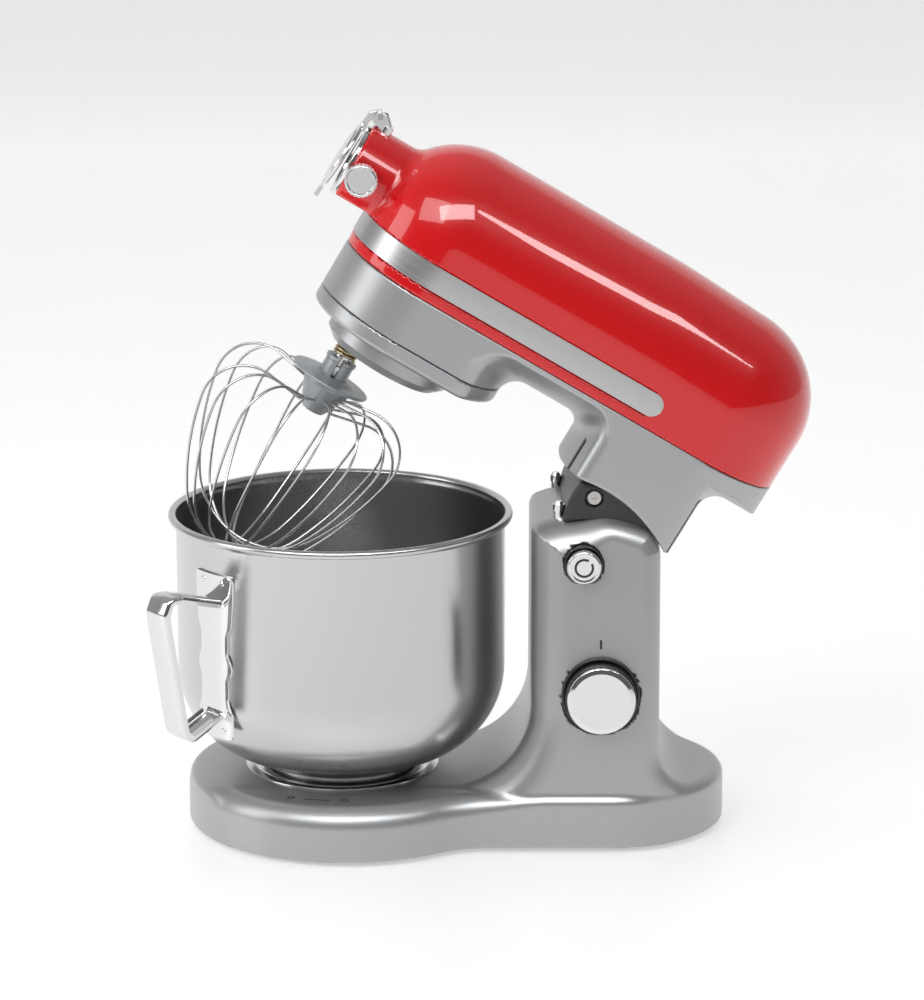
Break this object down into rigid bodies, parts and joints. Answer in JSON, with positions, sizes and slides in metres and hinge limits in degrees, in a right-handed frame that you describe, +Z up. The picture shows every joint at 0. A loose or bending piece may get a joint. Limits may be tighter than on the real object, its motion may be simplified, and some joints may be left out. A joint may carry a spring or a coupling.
{
  "type": "stand mixer",
  "caption": "Tilting-head kitchen stand mixer with a planetary whisk drive, lift-off steel bowl, capped front power outlet, speed knob and release button.",
  "frame": {"origin": "middle of the footprint on the table, under the feet", "axes": "+Z up, -X towards the nose and bowl, -Y towards the side with the speed knob"},
  "size_m": [0.4363, 0.2308, 0.4838],
  "materials": {
    "cast_silver": "satin metallic paint",
    "cover_red": "gloss paint",
    "band_steel": "brushed along its length",
    "polished_steel": "polished",
    "bright_trim": "polished",
    "bezel_dark": "satin",
    "cover_dark": "matt",
    "whisk_grey": "satin",
    "rubber_black": "matt",
    "zinc_screw": "zinc plated",
    "tool_steel": "ground",
    "spring_steel": "drawn",
    "bush_bronze": "machined",
    "copper_wire": "varnished",
    "laminated_iron": "stacked sheet",
    "nylon_white": "moulded",
    "board_green": "solder mask",
    "mark_black": "printed"
  },
  "bodies": {
    "stand": {"stand_casting": "cast_silver", "base_cover": "bezel_dark", "base_feet": "rubber_black", "base_screws": "zinc_screw", "bowl_seat": "bright_trim", "seat_screws": "zinc_screw", "lock_marks": "mark_black", "hinge_block": "cover_dark", "hinge_screws": "zinc_screw", "hinge_pin": "tool_steel", "latch_studs": "bright_trim", "knob_bezel": "bezel_dark", "speed_mark": "mark_black", "button_bezel": "bezel_dark", "speed_board": "board_green", "speed_switch": "cover_dark", "cord_gland": "rubber_black"},
    "knob": {"speed_knob": "bezel_dark", "knob_cap": "bright_trim"},
    "button": {"release_button": "bright_trim", "button_plunger": "nylon_white", "button_spring": "spring_steel"},
    "bolt": {"lock_bolt": "tool_steel"},
    "head": {"head_cover": "cover_red", "trim_band": "band_steel", "head_chassis": "cast_silver", "gearbox_cover": "cast_silver", "housing_screws": "zinc_screw", "tilt_ears": "tool_steel", "tilt_bushes": "bush_bronze", "motor_stator": "laminated_iron", "brush_holders": "bush_bronze", "motor_bearings": "tool_steel", "gear_plate": "zinc_screw", "ring_gear": "tool_steel", "outlet_ring": "bright_trim", "cover_hinge": "bright_trim", "cover_pin": "tool_steel", "idler_shaft": "tool_steel"},
    "rotor": {"motor_rotor": "copper_wire", "motor_fan": "nylon_white", "motor_shaft": "tool_steel"},
    "idler": {"idler_gear": "nylon_white"},
    "carrier": {"planet_carrier": "cast_silver", "main_gear": "tool_steel", "drive_shaft": "tool_steel"},
    "outlet": {"outlet_shaft": "tool_steel"},
    "tool": {"planet_gear": "tool_steel", "tool_shaft": "tool_steel", "tool_pin": "tool_steel", "tool_spring": "spring_steel"},
    "cover": {"outlet_cover": "bright_trim"},
    "clamp": {"clamp_knob": "bright_trim"},
    "bowl": {"bowl_shell": "polished_steel", "bowl_foot": "polished_steel", "bowl_handle": "polished_steel", "handle_plates": "polished_steel"},
    "whisk": {"whisk_hub": "whisk_grey", "whisk_collar": "whisk_grey", "whisk_wires": "polished_steel"}
  },
  "joints": [
    {"name": "head_tilt", "type": "hinge", "parent": "stand", "child": "head", "pos_m": [0.101, 0, 0.212], "axis": [0, 1, 0], "range_deg": [-30.5, 0]},
    {"name": "speed_dial", "type": "hinge", "parent": "stand", "child": "knob", "pos_m": [0.0765, -0.071, 0.106], "axis": [0, -1, 0], "range_deg": [-35, 250]},
    {"name": "button_press", "type": "slide", "parent": "stand", "child": "button", "axis": [0, 1, 0], "range_m": [0, 0.003], "stiffness_N_per_m": 600, "springref_m": -0.003},
    {"name": "bolt_slide", "type": "slide", "parent": "stand", "child": "bolt", "axis": [-1, 0, 0], "range_m": [0, 0.003]},
    {"name": "carrier_turn", "type": "hinge", "parent": "head", "child": "carrier", "pos_m": [-0.06128, 0, 0.32268], "axis": [0.5075, 0, 0.8616], "continuous": true},
    {"name": "tool_turn", "type": "hinge", "parent": "carrier", "child": "tool", "pos_m": [-0.08196, 0, 0.33486], "axis": [0.5075, 0, 0.8616], "continuous": true},
    {"name": "idler_turn", "type": "hinge", "parent": "head", "child": "idler", "pos_m": [0.00809, 0, 0.33404], "axis": [0.5075, 0, 0.8616], "continuous": true},
    {"name": "rotor_turn", "type": "hinge", "parent": "head", "child": "rotor", "pos_m": [0.05562, 0, 0.34086], "axis": [0.5075, 0, 0.8616], "continuous": true},
    {"name": "outlet_turn", "type": "hinge", "parent": "head", "child": "outlet", "pos_m": [-0.05594, 0, 0.43025], "axis": [0.8616, 0, -0.5075], "continuous": true},
    {"name": "outlet_cover_hinge", "type": "hinge", "parent": "head", "child": "cover", "pos_m": [-0.06687, 0, 0.47673], "axis": [0, 1, 0], "range_deg": [0, 100]},
    {"name": "clamp_screw", "type": "hinge", "parent": "head", "child": "clamp", "pos_m": [-0.07901, -0.035, 0.44036], "axis": [0, -1, 0], "range_deg": [0, 350]},
    {"name": "bowl_lift", "type": "slide", "parent": "stand", "child": "bowl", "axis": [0, 0, 1], "range_m": [0, 0.03]},
    {"name": "whisk_pull", "type": "slide", "parent": "tool", "child": "whisk", "axis": [-0.5075, 0, -0.8616], "range_m": [0, 0.01]}
  ],
  "couplings": [
    {"joint": "bolt_slide", "follows": "button_press", "ratio": 1},
    {"joint": "tool_turn", "follows": "carrier_turn", "ratio": -3.6667},
    {"joint": "idler_turn", "follows": "carrier_turn", "ratio": -5},
    {"joint": "rotor_turn", "follows": "carrier_turn", "ratio": 20},
    {"joint": "outlet_turn", "follows": "carrier_turn", "ratio": 1}
  ]
}
